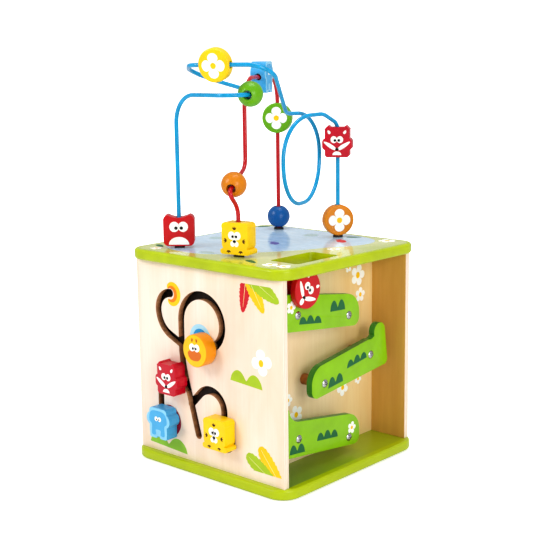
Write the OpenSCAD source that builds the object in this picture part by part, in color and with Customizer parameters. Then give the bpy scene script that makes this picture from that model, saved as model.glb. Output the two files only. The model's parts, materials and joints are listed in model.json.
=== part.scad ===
// Wooden baby activity cube: a box on two rounded plates, with a bead maze of two bent wires
// on top, a groove maze with four sliding animal knobs on one side and a roller run on the next.
// Millimetres, +Z up. The origin is the centre of the underside, the groove maze faces -Y
// and the roller run faces +X.

/* [Box] */
// side of the square top and bottom plates
plate_side = 300; // [240:5:360]
// thickness of the plates
plate_t = 15; // [12:1:20]
// how far the plates stand out past the panels
overhang = 10; // [6:1:16]
// radius of the plates' upright corners
plate_corner = 29; // [20:1:40]
// rounding of the plates' rims
plate_rim = 4; // [2:0.5:6]
// height of the box with both plates
box_h = 312; // [280:1:340]
// thickness of the plywood panels
panel_t = 9; // [6:1:12]

/* [Roller run] */
// depth of the open recess, from the panels' edges to the run's back panel
recess = 61; // [55:1:70]
// thickness of the ramp boards
board_t = 10; // [8:1:12]
// length of the dowels that hold the boards off the back panel
spacer_len = 29; // [24:1:32]
// diameter of those dowels
spacer_d = 16; // [12:1:18]
// slope of the ramps, in degrees
ramp_slope = 8.5; // [5:0.5:12]
// diameter of the roller's two discs
roller_d = 52; // [44:1:56]
// thickness of each disc
roller_disc_t = 10; // [8:1:12]
// diameter of the roller's axle
axle_d = 17; // [12:1:20]

/* [Groove maze] */
// width of the grooves
groove_w = 12; // [10:0.5:14]
// thickness of the knobs
knob_t = 20; // [16:1:26]
// diameter of the knobs' stems
stem_d = 9; // [7:0.5:10]
// diameter of the keeper discs behind the panel
keeper_d = 22; // [18:1:26]

/* [Wires and beads] */
// diameter of the wire
wire_d = 6; // [5:0.1:7]
// diameter of the hole through the flower and animal beads
hole_d = 10; // [8:0.5:11]
// diameter of the wider hole through the ball beads
ball_hole_d = 12.5; // [10:0.5:13]
// diameter of the ball beads
ball_d = 35; // [30:1:40]
// diameter of the flower discs
flower_d = 46; // [40:1:50]
// thickness of the flower discs
flower_t = 15; // [13:1:18]
// thickness of the animal beads
block_t = 22; // [18:1:26]
// height of the low wire run, above the ground
low_run_z = 528; // [500:1:540]
// height of the highest wire run, above the ground
top_run_z = 569; // [550:1:590]
// height of the red wire's run, above the ground
red_run_z = 550; // [545:1:560]

/* [Hidden] */
$fn = 96;
eps = 0.5;
// collars over the wires' joints: length, how far they stand off the wire and the gap they bridge
collar_len = 2;
collar_lift = 0.2;
joint_gap = 0.3;
// how much wider, on the radius, a groove's drilled holes are than its cuts
drill_lift = 0.1;
// how far round ends lap their board
lap = 0.05;
// running clearance, on the radius, between the roller's axle and its discs
run_gap = 0.05;

body_side = plate_side - 2 * overhang;
body_half = body_side / 2;
inner_half = body_half - panel_t;
deck_z = box_h;
panel_h = box_h - 2 * plate_t;
run_face_x = body_half - recess;
board_x = run_face_x + spacer_len;

// slot the roller is dropped through: centre and size
slot_centre = [106.5, -56.5];
slot_size = [50, 88];
slot_corner = 7;

// wire feet on the deck
blue_left = [-92, -99];
blue_right = [29, 112];
red_front = [27, -101];
red_back = [-94, 117];
ferrule_d = 15;
ferrule_h = 3;
spigot_d = 10;

// loop of the blue wire: two upright sides and the heights of its top and bottom
loop_far = [-9, 115];
loop_near = [30.5, -11.5];
loop_top_z = 494.5;
loop_low_z = 368;
loop_r = 60.5;

// each wire: corner points, with the radius the wire is bent to at that corner
blue_path = [
    [blue_left[0], blue_left[1], deck_z - plate_t, 0],
    [blue_left[0], blue_left[1], low_run_z, 40],
    [25, -113, low_run_z + 1, 24],
    [25, -49, low_run_z + 1, 30],
    [-126, -40, top_run_z - 12, 24],
    [-46, -116, top_run_z, 24],
    [70, -77, top_run_z, 30],
    [5, 25, loop_top_z + 4, 36],
    [loop_far[0], loop_far[1], loop_top_z + 1, loop_r],
    [loop_far[0], loop_far[1], loop_low_z, loop_r],
    [loop_near[0], loop_near[1], loop_low_z, loop_r],
    [loop_near[0], loop_near[1], loop_top_z, loop_r],
    [blue_right[0] + 0.5, 78, loop_top_z + 2, 34],
    [blue_right[0], blue_right[1], loop_top_z - 14, 16],
    [blue_right[0], blue_right[1], deck_z - plate_t, 0]
];
red_path = [
    [red_front[0], red_front[1], deck_z - plate_t, 0],
    [red_front[0], red_front[1], 378, 30],
    [34.4, -126.8, 401.7, 7],
    [-10, -46, 428, 18],
    [-10, -46, red_run_z, 42],
    [red_back[0], red_back[1], red_run_z, 42],
    [red_back[0], red_back[1], deck_z - plate_t, 0]
];

// animal block width and height
block_w = 44;
block_h = 44;
// where the beads rest: height of the lowest bead's foot, middle heights of the two that are
// held part way up their posts, and distances along a run from its first corner
bead_rest_z = deck_z + ferrule_h + 0.5;
// how much lower a drilled ball and a drilled disc come than whole ones would
ball_sink = 0.7;
disc_sink = 0.5;
fox_bead_z = 454;
green_flower_z = 485.5;
elephant_along = 95;
orange_ball_along = 29.5;
yellow_flower_along = 40;

// grooves, in the maze panel's own plane: [x, z] of each bend centre and its radius
trunk_x = -50;
curl_centre = [-71, 229];
curl_r = 25;
sweep_centre = [-57.6, 229];
sweep_r = 38.4;
big_centre = [-10, 218.5];
big_r = 40;
drop_centre = [-3, 218.5];
drop_r = 33;
hook_r = 11;
arch_centre = [4, 99];
arch_r = 27;
hump_centre = [-69, 108];
hump_r = 27;
tuck_centre = [-72, 88];
tuck_r = 24;
bend_z = 185;
bend_r = 180;
bend_turn = 16;

knob_gap = 1;
keeper_t = 4;
keeper_gap = 0.5;
stem_in_knob = 12;
backing_t = 4;
backing_gap = 8;

// ---- small helpers ----

function unit(v) = v / norm(v);
function flat(p) = [p[0], p[1], p[2]];
function heading(path, i) = unit(flat(path[i + 1]) - flat(path[i]));
function turn(path, i) = acos(heading(path, i - 1) * heading(path, i));
function setback(path, i) = path[i][3] == 0 ? 0 : path[i][3] * tan(turn(path, i) / 2);
function polar(centre, r, a) = centre + r * [cos(a), sin(a)];

// puts children on point p with their X axis along dir and their Z axis as upright as it goes
module lay_along(p, dir) {
    x = unit(dir);
    y = unit(cross([0, 0, 1], x));
    z = cross(x, y);
    multmatrix([
        [x[0], y[0], z[0], p[0]],
        [x[1], y[1], z[1], p[1]],
        [x[2], y[2], z[2], p[2]],
        [0, 0, 0, 1]
    ]) children();
}

// a straight rod from a to b
module rod(a, b, d) {
    run = b - a;
    translate(a)
        rotate([0, acos(run[2] / norm(run)), atan2(run[1], run[0])])
            cylinder(h = norm(run), d = d);
}

// the bend of a wire at corner i of its path, and the point it turns about
function bend_centre(path, i) =
    flat(path[i])
    + unit(heading(path, i) - heading(path, i - 1)) * path[i][3] / cos(turn(path, i) / 2);

module wire_bend(path, i, d) {
    into = heading(path, i - 1);
    r = path[i][3];
    angle = turn(path, i);
    centre = bend_centre(path, i);
    spoke = unit(flat(path[i]) - into * setback(path, i) - centre);
    axis = cross(spoke, into);
    multmatrix([
        [spoke[0], into[0], axis[0], centre[0]],
        [spoke[1], into[1], axis[1], centre[1]],
        [spoke[2], into[2], axis[2], centre[2]],
        [0, 0, 0, 1]
    ])
        rotate_extrude(angle = angle) translate([r, 0]) circle(d = d);
}

// where the straight that leaves corner i starts, and where the one that reaches it ends
function leaves(path, i) = flat(path[i]) + setback(path, i) * heading(path, i);
function reaches(path, i) = flat(path[i]) - setback(path, i) * heading(path, i - 1);

// a wire bent at each corner of its path and straight between, with a collar a little wider
// than the wire over each place where a straight stops just short of a bend
module bent_wire(path, d) {
    last = len(path) - 1;
    for (i = [0 : last - 1]) {
        dir = heading(path, i);
        start = i == 0 ? flat(path[0]) : leaves(path, i) + joint_gap * dir;
        end = i == last - 1 ? flat(path[last]) : reaches(path, i + 1) - joint_gap * dir;
        rod(start, end, d);
    }
    for (i = [1 : last - 1]) {
        wire_bend(path, i, d);
        collar(reaches(path, i), heading(path, i - 1), d);
        collar(leaves(path, i), heading(path, i), d);
    }
}

module collar(at, dir, d) {
    rod(at - collar_len / 2 * dir, at + collar_len / 2 * dir, d + 2 * collar_lift);
}

// a flat rectangle with round corners, centred
module round_rect(size, r) {
    square([size[0] - 2 * r, size[1]], center = true);
    square([size[0], size[1] - 2 * r], center = true);
    for (x = [-1, 1], y = [-1, 1])
        translate([x * (size[0] / 2 - r), y * (size[1] / 2 - r)]) circle(r);
}

// a square slab with round corners and a round rim all the way round
module soft_slab(side, t, corner, rim) {
    straight = side - 2 * corner;
    translate([0, 0, rim])
        linear_extrude(t - 2 * rim) round_rect([side, side], corner);
    linear_extrude(t) round_rect([side - 2 * rim, side - 2 * rim], corner - rim);
    for (z = [rim, t - rim], a = [0 : 90 : 270])
        translate([0, 0, z])
            rotate(a) {
                translate([side / 2 - rim, -straight / 2, 0])
                    rotate([-90, 0, 0]) cylinder(h = straight, r = rim);
                translate([side / 2 - corner, side / 2 - corner, 0])
                    rotate_extrude(angle = 90) translate([corner - rim, 0]) circle(rim);
            }
}

// a disc standing on z = 0 with a round rim
module soft_disc(d, t, rim) {
    rotate_extrude() {
        square([d / 2 - rim, t]);
        translate([0, rim]) square([d / 2, t - 2 * rim]);
        for (y = [rim, t - rim])
            translate([d / 2 - rim, y]) circle(rim);
    }
}

// stands a flat drawing up on the maze side: drawing x stays x, drawing y becomes height
module on_maze(y) {
    translate([0, y, 0]) rotate([90, 0, 0]) children();
}

// stands a flat drawing up in the roller run: drawing x becomes Y, drawing y becomes height
module on_run(x) {
    translate([x, 0, 0]) rotate([90, 0, 90]) children();
}

// ---- box ----

module top_plate() {
    color([0.72, 0.82, 0.05])
        difference() {
            translate([0, 0, deck_z - plate_t])
                soft_slab(plate_side, plate_t, plate_corner, plate_rim);
            translate([slot_centre[0], slot_centre[1], deck_z - plate_t - eps])
                linear_extrude(plate_t + 2 * eps) round_rect(slot_size, slot_corner);
            for (foot = [blue_left, blue_right, red_front, red_back])
                translate([foot[0], foot[1], deck_z - plate_t - eps])
                    cylinder(h = plate_t + 2 * eps, d = spigot_d);
        }
}

module bottom_plate() {
    color([0.72, 0.82, 0.05])
        soft_slab(plate_side, plate_t, plate_corner, plate_rim);
}

module side_panel() {
    color([0.93, 0.82, 0.62])
        translate([-inner_half, inner_half, plate_t])
            cube([inner_half + body_half, panel_t, panel_h]);
}

module rear_panel() {
    color([0.93, 0.82, 0.62])
        translate([-body_half, -inner_half, plate_t])
            cube([panel_t, inner_half + body_half, panel_h]);
}

module run_panel() {
    color([0.93, 0.82, 0.62])
        translate([run_face_x - panel_t, -inner_half, plate_t])
            cube([panel_t, 2 * inner_half, panel_h]);
}

// ---- groove maze ----

// a straight cut between two drilled holes, and a curved cut between two drilled holes. A hole is
// a hair wider than the cut, so that cuts meet inside it, and a straight stops just short of its end
module groove_line(a, b) {
    run = b - a;
    translate([a[0], a[1], -eps])
        rotate(atan2(run[1], run[0]))
            translate([joint_gap, -groove_w / 2, 0])
                cube([norm(run) - 2 * joint_gap, groove_w, panel_t + 2 * eps]);
    groove_hole(a);
    groove_hole(b);
}

module groove_arc(centre, r, from, to) {
    translate([centre[0], centre[1], -eps])
        rotate(from)
            rotate_extrude(angle = to - from)
                translate([r - groove_w / 2, 0]) square([groove_w, panel_t + 2 * eps]);
    groove_hole(polar(centre, r, from));
    groove_hole(polar(centre, r, to));
}

module groove_hole(p) {
    translate([p[0], p[1], -2 * eps]) cylinder(h = panel_t + 4 * eps, d = groove_w + 2 * drill_lift);
}

// the trunk: upright, a gentle bend to the right, then straight to its foot
module trunk_groove() {
    bend_end = polar([trunk_x + bend_r, bend_z], bend_r, 180 + bend_turn);
    foot = bend_end + 82 * [sin(bend_turn), -cos(bend_turn)];
    groove_line([trunk_x, big_centre[1]], [trunk_x, bend_z]);
    groove_arc([trunk_x + bend_r, bend_z], bend_r, 180, 180 + bend_turn);
    groove_line(bend_end, foot);
}

// upper left: a sweep off the trunk that curls over at its top
module curl_groove() {
    sweep_to = 246;
    sweep_end = polar(sweep_centre, sweep_r, sweep_to);
    groove_line([trunk_x, sweep_end[1] + (sweep_end[0] - trunk_x) / tan(sweep_to - 180)], sweep_end);
    groove_arc(sweep_centre, sweep_r, 180, sweep_to);
    groove_arc(curl_centre, curl_r, 90, 180);
}

// upper right: over the top in a half circle, then tightening to its end
module loop_groove() {
    hook_centre = drop_centre - [0, drop_r - hook_r];
    groove_arc(big_centre, big_r, 0, 180);
    groove_arc(drop_centre, drop_r, -90, 0);
    groove_arc(hook_centre, hook_r, 180, 270);
}

// lower right: an arch off the trunk that comes down again
module arch_groove() {
    lift_off = 135;
    start = polar(arch_centre, arch_r, lift_off);
    end = arch_centre + [arch_r, -37];
    groove_line(start - 26 * [1, 1] / sqrt(2), start);
    groove_arc(arch_centre, arch_r, 0, lift_off);
    groove_line(arch_centre + [arch_r, 0], end);
}

// lower left: a hump off the trunk that comes down and tucks under
module hump_groove() {
    lift_off = 50;
    tuck_to = 250;
    start = polar(hump_centre, hump_r, lift_off);
    groove_line(start, start + 12 * [sin(lift_off), -cos(lift_off)]);
    groove_arc(hump_centre, hump_r, lift_off, 180);
    groove_line(hump_centre - [hump_r, 0], tuck_centre - [tuck_r, 0]);
    groove_arc(tuck_centre, tuck_r, 180, tuck_to);
}

module maze_panel() {
    color([0.95, 0.86, 0.7])
        on_maze(-inner_half)
            difference() {
                translate([-body_half, plate_t, 0]) cube([body_side, panel_h, panel_t]);
                trunk_groove();
                curl_groove();
                loop_groove();
                arch_groove();
                hump_groove();
            }
}

module maze_backing() {
    color([0.16, 0.1, 0.06])
        translate([-inner_half, -inner_half + backing_gap, plate_t])
            cube([inner_half + run_face_x - panel_t, backing_t, panel_h]);
}

// ---- animal outlines, centred, face up ----

module owl_outline() {
    difference() {
        round_rect([block_w, block_h], 7);
        translate([0, block_h / 2 + 26]) circle(30);
    }
}

module leopard_outline() {
    translate([0, 2]) round_rect([block_w - 3, block_h - 4], 10);
    for (side = [-1, 1])
        translate([side * (block_w / 2 - 7), block_h / 2 - 6]) circle(6);
    translate([0, 4 - block_h / 2]) round_rect([block_w + 2, 8], 3.9);
}

module fox_outline() {
    ear = 8;
    round_rect([block_w - 8, block_h], 4);
    translate([0, -3]) round_rect([block_w, 18], 6);
    for (side = [-1, 1])
        translate([side * (block_w / 2 - 9), block_h / 2 - 3]) rotate(45) square(ear, center = true);
}

module elephant_outline() {
    translate([0, 1]) round_rect([block_w - 8, block_h - 2], 6);
    for (side = [-1, 1])
        translate([side * (block_w / 2 - 8), 5]) circle(10);
    for (side = [-1, 1])
        translate([side * 10, 5 - block_h / 2]) round_rect([15, 12], 3);
}

module chick_outline() {
    circle(d = 46);
}

// ---- beads: front towards -Y, middle on the origin ----

module upright_bore(d = hole_d) {
    translate([0, 0, -flower_d]) cylinder(h = 2 * flower_d, d = d);
}

module level_bore(d = hole_d) {
    rotate([0, 90, 0]) upright_bore(d);
}

module block_bead() {
    difference() {
        translate([0, block_t / 2, 0]) rotate([90, 0, 0]) linear_extrude(block_t) children();
        upright_bore();
    }
}

module flower_disc() {
    translate([0, flower_t / 2, 0]) rotate([90, 0, 0]) soft_disc(flower_d, flower_t, 2.5);
}

module ball_bead() {
    difference() {
        sphere(d = ball_d);
        children();
    }
}

// puts a bead on the run of a wire that leaves corner i, so far along it
module on_run_of(path, i, along) {
    lay_along(flat(path[i]) + along * heading(path, i), heading(path, i)) children();
}

// puts an upright bead on a wire foot: its middle at height z, turned to face `angle`
module on_post(foot, z, angle) {
    translate([foot[0], foot[1], z]) rotate(angle) children();
}

module owl_bead() {
    color([0.8, 0.1, 0.12])
        on_post(blue_left, bead_rest_z + block_h / 2, 42) block_bead() owl_outline();
}

module leopard_bead() {
    color([1, 0.83, 0.05])
        on_post(red_front, bead_rest_z + block_h / 2, 12) block_bead() leopard_outline();
}

module fox_bead() {
    color([0.75, 0.08, 0.14])
        on_post(blue_right, fox_bead_z, 32) block_bead() fox_outline();
}

module elephant_bead() {
    color([0.3, 0.68, 0.88])
        on_run_of(red_path, 4, elephant_along)
            difference() {
                translate([0, block_t / 2, 0])
                    rotate([90, 0, 0]) linear_extrude(block_t) elephant_outline();
                level_bore();
            }
}

module orange_ball() {
    color([0.95, 0.6, 0.1])
        on_run_of(red_path, 2, orange_ball_along) ball_bead() level_bore(ball_hole_d);
}

// the green ball hangs on a bend, so its straight hole lies as a chord across the wire's arc
module green_ball() {
    bend = 3;
    round_bend = 27;
    sag = 0.5;
    r = blue_path[bend][3];
    reach = sqrt(pow(ball_d / 2, 2) - pow(ball_hole_d / 2, 2));
    chord_r = (r + wire_d / 2 + sqrt(pow(r - wire_d / 2, 2) - reach * reach)) / 2;
    centre = bend_centre(blue_path, bend);
    into = heading(blue_path, bend - 1);
    start = unit(reaches(blue_path, bend) - centre);
    spoke = cos(round_bend) * start + sin(round_bend) * into;
    along = cos(round_bend) * into - sin(round_bend) * start;
    color([0.35, 0.65, 0.2])
        lay_along(centre + chord_r * spoke - [0, 0, sag], along)
            ball_bead() level_bore(ball_hole_d);
}

module blue_ball() {
    color([0.05, 0.4, 0.75])
        on_post(red_back, bead_rest_z + ball_d / 2 - ball_sink, 0) ball_bead() upright_bore(ball_hole_d);
}

module yellow_flower() {
    color([1, 0.85, 0.05])
        on_run_of(blue_path, 5, yellow_flower_along)
            rotate([10, 0, 0])
                difference() {
                    flower_disc();
                    level_bore();
                }
}

module green_flower() {
    color([0.4, 0.7, 0.2])
        on_post(red_back, green_flower_z, 27)
            difference() {
                flower_disc();
                upright_bore();
            }
}

module orange_flower() {
    color([0.97, 0.6, 0.12])
        on_post(blue_right, bead_rest_z + flower_d / 2 - disc_sink, 58)
            difference() {
                flower_disc();
                upright_bore();
            }
}

// ---- wires ----

module blue_wire() {
    color([0.08, 0.6, 0.82]) bent_wire(blue_path, wire_d);
}

module red_wire() {
    color([0.72, 0.12, 0.16]) bent_wire(red_path, wire_d);
}

module wire_ferrules() {
    color([0.08, 0.08, 0.08])
        for (foot = [blue_left, blue_right, red_front, red_back])
            translate([foot[0], foot[1], 0])
                difference() {
                    union() {
                        translate([0, 0, deck_z]) cylinder(h = ferrule_h, d = ferrule_d);
                        translate([0, 0, deck_z - plate_t]) cylinder(h = plate_t + eps, d = spigot_d);
                    }
                    translate([0, 0, deck_z - plate_t - eps])
                        cylinder(h = plate_t + ferrule_h + 2 * eps, d = wire_d);
                }
}

// ---- maze knobs: [x, z] of each knob on its groove ----

chick_at = polar(drop_centre, drop_r, -90);
fox_at = polar(hump_centre, hump_r, 75);
elephant_at = polar(tuck_centre, tuck_r, 246);
leopard_at = arch_centre + [arch_r, -26];

module knob(at) {
    on_maze(-body_half - knob_gap)
        translate(at)
            difference() {
                linear_extrude(knob_t) children();
                translate([0, 0, -eps]) cylinder(h = stem_in_knob + eps, d = stem_d);
            }
}

module stem(at) {
    length = keeper_t + keeper_gap + panel_t + knob_gap + stem_in_knob;
    color([0.85, 0.72, 0.5])
        on_maze(-inner_half + keeper_gap + keeper_t)
            translate(at) cylinder(h = length, d = stem_d);
}

module keeper(at) {
    color([0.85, 0.72, 0.5])
        on_maze(-inner_half + keeper_gap + keeper_t)
            translate(at)
                difference() {
                    cylinder(h = keeper_t, d = keeper_d);
                    translate([0, 0, -eps]) cylinder(h = keeper_t + 2 * eps, d = stem_d);
                }
}

module chick_knob() {
    color([0.98, 0.72, 0.08]) knob(chick_at) chick_outline();
}

module chick_stem() {
    stem(chick_at);
}

module chick_keeper() {
    keeper(chick_at);
}

module fox_knob() {
    color([0.8, 0.1, 0.14]) knob(fox_at) fox_outline();
}

module fox_stem() {
    stem(fox_at);
}

module fox_keeper() {
    keeper(fox_at);
}

module elephant_knob() {
    color([0.3, 0.68, 0.88]) knob(elephant_at) elephant_outline();
}

module elephant_stem() {
    stem(elephant_at);
}

module elephant_keeper() {
    keeper(elephant_at);
}

module leopard_knob() {
    color([1, 0.83, 0.05]) knob(leopard_at) leopard_outline();
}

module leopard_stem() {
    stem(leopard_at);
}

module leopard_keeper() {
    keeper(leopard_at);
}

// ---- roller run: [y, z] in the boards' plane ----

ramp_dir = [cos(ramp_slope), -sin(ramp_slope)];
ramp_up = [sin(ramp_slope), cos(ramp_slope)];
// centre of each board's big end round
top_end = [20, 222];
middle_end = [-30, 134];
low_end = [21, 46];
end_r = 29;
middle_end_r = 26;
toe_r = 12;
ramp_left = -inner_half + 3;

// [y, z] of the dowel and screw pairs, one pair to a board
screw_spots = [
    top_end + [-104, 17], top_end + [6, -2],
    middle_end + [2, -2], middle_end + [107, 18],
    low_end + [-105, 20], low_end + [5, -6]
];
screw_d = 4;
screw_head_d = 12;
screw_head_h = 2.5;
screw_bite = 20;
cross_len = 6;
cross_w = 1.2;
cross_deep = 1.3;

// point of a falling board's top edge, given its end round and its y
function top_edge(end, y) =
    [y, (end + (end_r - lap) * ramp_up)[1] - (y - (end + end_r * ramp_up)[0]) * tan(ramp_slope)];

// the upper half of a round
module crown(centre, r) {
    translate(centre)
        intersection() {
            circle(r);
            translate([-r, -lap]) square([2 * r, r + lap]);
        }
}

// a board that falls to the right, ending in a big round over a small toe
module falling_board(end) {
    toe = [end[0] + end_r - toe_r, end[1] - 7];
    toe_low = toe - (toe_r - lap) * ramp_up;
    crown(end, end_r);
    translate(toe) circle(toe_r);
    polygon([
        [ramp_left, toe_low[1] + (toe_low[0] - ramp_left) * tan(ramp_slope - 2)],
        toe_low,
        toe + [toe_r - lap, 0],
        end + [end_r - lap, 0],
        end + (end_r - lap) * ramp_up,
        top_edge(end, ramp_left)
    ]);
}

// a board of the outline given, standing in the run, with a hole for each screw that meets it
module ramp_board() {
    color([0.58, 0.8, 0.1])
        on_run(board_x)
            difference() {
                linear_extrude(board_t) children();
                for (spot = screw_spots)
                    translate([spot[0], spot[1], -eps]) cylinder(h = board_t + 2 * eps, d = screw_d);
            }
}

module ramp_top() {
    ramp_board() falling_board(top_end);
}

// the low board, with a raised stop at its left end
module ramp_low() {
    stop_y = -98;
    stop_h = 22;
    scoop_r = 24;
    stop_top = top_edge(low_end, ramp_left)[1] + stop_h;
    scoop_foot = top_edge(low_end, stop_y + 14);
    ramp_board() {
        falling_board(low_end);
        difference() {
            polygon([
                top_edge(low_end, ramp_left) - [0, 2],
                scoop_foot - [0, 2],
                [stop_y - 14, stop_top],
                [ramp_left, stop_top]
            ]);
            translate(scoop_foot + scoop_r * ramp_up) circle(scoop_r);
        }
    }
}

// the middle board, falling to the left, with a raised stop at its right end
module ramp_middle() {
    rise = [-sin(ramp_slope), cos(ramp_slope)];
    toe = [middle_end[0] - middle_end_r + toe_r, middle_end[1] - 8];
    heel = [109, 139];
    heel_r = 8;
    horn = [98, 183];
    horn_r = 13;
    brow = middle_end + (middle_end_r - lap) * rise;
    stop_y = 76;
    stop_foot = [stop_y, brow[1] + (stop_y - brow[0]) * tan(ramp_slope)];
    fillet_r = 14;
    ramp_board() {
        crown(middle_end, middle_end_r);
        translate(toe) circle(toe_r);
        translate(heel) circle(heel_r);
        translate(horn) circle(horn_r);
        difference() {
            polygon([
                middle_end - [middle_end_r - lap, 0],
                toe - [toe_r - lap, 0],
                toe - [0, toe_r - lap],
                heel - [0, heel_r - lap],
                heel + [heel_r - lap, 0],
                horn + [horn_r - lap, 0],
                polar(horn, horn_r - lap, 135),
                stop_foot,
                brow
            ]);
            translate(stop_foot + (fillet_r - 1) * rise + [2, 0]) circle(fillet_r);
        }
    }
}

module ramp_spacers() {
    color([0.55, 0.33, 0.14])
        on_run(run_face_x)
            for (spot = screw_spots)
                translate(spot)
                    difference() {
                        cylinder(h = spacer_len, d = spacer_d);
                        translate([0, 0, spacer_len - screw_bite])
                            cylinder(h = screw_bite + eps, d = screw_d);
                    }
}

// a round-headed screw with a cross in its head, head up, its seat on z = 0
module cross_screw() {
    ball_r = (screw_head_d * screw_head_d / 4 + screw_head_h * screw_head_h) / (2 * screw_head_h);
    difference() {
        intersection() {
            translate([0, 0, screw_head_h - ball_r]) sphere(ball_r);
            cylinder(h = screw_head_h, d = screw_head_d);
        }
        for (a = [0, 90])
            rotate(a)
                translate([-cross_len / 2, -cross_w / 2, screw_head_h - cross_deep])
                    cube([cross_len, cross_w, cross_deep + eps]);
    }
    translate([0, 0, -board_t - screw_bite]) cylinder(h = board_t + screw_bite, d = screw_d);
}

module ramp_screws() {
    color([0.75, 0.75, 0.76])
        on_run(board_x + board_t)
            for (spot = screw_spots)
                translate(spot) cross_screw();
}

// ---- roller: its axle rolls on the top board's upper edge ----

// gap between board and disc, and how much of a disc closes over the axle's end
roller_gap = 1.5;
disc_cap = 1;
roller_y = -77.5;
roller_at = top_edge(top_end, roller_y) + (axle_d / 2 + run_gap) * ramp_up;
roller_rim = 2;
axle_hub_d = 12;

module roller_axle() {
    length = board_t + 2 * roller_gap;
    color([0.7, 0.1, 0.12])
        on_run(board_x - roller_gap)
            translate(roller_at) {
                cylinder(h = length, d = axle_d);
                translate([0, 0, disc_cap - roller_disc_t])
                    cylinder(h = length + 2 * (roller_disc_t - disc_cap), d = axle_hub_d);
            }
}

module roller_disc() {
    difference() {
        soft_disc(roller_d, roller_disc_t, roller_rim);
        translate([0, 0, -eps])
            cylinder(h = roller_disc_t - disc_cap + eps, d = axle_hub_d + 2 * run_gap);
    }
}

module roller_front_disc() {
    color([0.8, 0.08, 0.12])
        on_run(board_x + board_t + roller_gap + run_gap) translate(roller_at) roller_disc();
}

module roller_back_disc() {
    color([0.8, 0.08, 0.12])
        on_run(board_x - roller_gap - run_gap) translate(roller_at) mirror([0, 0, 1]) roller_disc();
}

bottom_plate();
top_plate();
maze_panel();
maze_backing();
run_panel();
side_panel();
rear_panel();
ramp_top();
ramp_middle();
ramp_low();
ramp_spacers();
ramp_screws();
blue_wire();
red_wire();
wire_ferrules();
roller_axle();
roller_front_disc();
roller_back_disc();
owl_bead();
leopard_bead();
fox_bead();
elephant_bead();
orange_ball();
green_ball();
blue_ball();
yellow_flower();
green_flower();
orange_flower();
chick_knob();
chick_stem();
chick_keeper();
fox_knob();
fox_stem();
fox_keeper();
elephant_knob();
elephant_stem();
elephant_keeper();
leopard_knob();
leopard_stem();
leopard_keeper();
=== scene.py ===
"""Looks of a wooden baby activity cube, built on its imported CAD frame.

Lengths in the drawing functions are millimetres and turn into metres where meshes are made.
"""

import json
import math

import bmesh
import bpy
from mathutils import Matrix, Vector

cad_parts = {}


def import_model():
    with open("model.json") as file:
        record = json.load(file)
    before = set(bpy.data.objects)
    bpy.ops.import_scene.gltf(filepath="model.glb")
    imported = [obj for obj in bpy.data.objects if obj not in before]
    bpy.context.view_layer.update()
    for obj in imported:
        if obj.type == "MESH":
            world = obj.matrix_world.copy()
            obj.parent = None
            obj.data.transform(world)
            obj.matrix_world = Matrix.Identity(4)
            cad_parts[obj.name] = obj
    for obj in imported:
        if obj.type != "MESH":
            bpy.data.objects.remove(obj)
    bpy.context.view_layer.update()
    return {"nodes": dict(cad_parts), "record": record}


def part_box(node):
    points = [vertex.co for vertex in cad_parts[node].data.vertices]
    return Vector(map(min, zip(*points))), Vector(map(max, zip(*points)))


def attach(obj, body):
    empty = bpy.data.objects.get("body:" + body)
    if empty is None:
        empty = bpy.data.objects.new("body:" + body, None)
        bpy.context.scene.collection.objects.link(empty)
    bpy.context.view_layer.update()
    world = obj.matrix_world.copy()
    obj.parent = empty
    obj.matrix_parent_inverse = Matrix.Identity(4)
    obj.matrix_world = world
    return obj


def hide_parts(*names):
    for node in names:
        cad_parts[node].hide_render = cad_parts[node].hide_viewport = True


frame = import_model()
nodes = frame["nodes"]

MM = 0.001
LAYER = 0.12  # how far one printed layer stands on the one below it
INK_SINK = 0.05  # how far printed ink reaches into its face
CLIP_DEPTH = 0.3  # how thick a print is that is cut to its face's holes

# ---------------------------------------------------------------- colours


def linear(channel):
    c = channel / 255
    return c / 12.92 if c <= 0.04045 else ((c + 0.055) / 1.055) ** 2.4


def srgb(red, green, blue):
    return (linear(red), linear(green), linear(blue), 1.0)


def shade(colour, factor):
    """The colour made darker (below 1) or lighter (above 1)."""
    return tuple(min(1.0, c * factor) for c in colour[:3]) + (1.0,)


LIME = srgb(176, 193, 0)
# a darker green painted on the run's floor as its shade
RUN_FLOOR_SHADE_GREEN = srgb(112, 144, 58)
RAMP_GREEN = srgb(138, 192, 2)
RAMP_EDGE = srgb(52, 132, 44)
BUSH_GREEN = srgb(36, 104, 62)
LEAF_GREEN = srgb(168, 196, 40)
PALE_DECK = srgb(222, 224, 150)
POND = srgb(186, 216, 240)
RED = srgb(200, 10, 22)
FOX_RED = srgb(194, 10, 40)
YELLOW = srgb(250, 206, 0)
ORANGE = srgb(214, 128, 0)
CHICK = srgb(240, 196, 0)
# the chick's sides, darker and more orange: painted shade
CHICK_SHADED_SIDE = srgb(230, 142, 4)
PALE_SKY = srgb(142, 208, 240)
# the sky-blue pieces' sides, a deeper blue: painted shade
SKY_SHADED_SIDE = srgb(62, 158, 212)
DEEP_SKY = srgb(40, 150, 214)
LEAF = srgb(104, 170, 14)
BLUE = srgb(0, 86, 152)
WHITE = srgb(250, 250, 246)
BLACK = srgb(16, 14, 14)
BROWN_INK = srgb(96, 58, 12)
WIRE_BLUE = srgb(0, 154, 206)
WIRE_RED = srgb(186, 14, 26)
DOWEL = srgb(170, 104, 44)
WALNUT = srgb(184, 134, 94)

# ---------------------------------------------------------------- node materials


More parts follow.
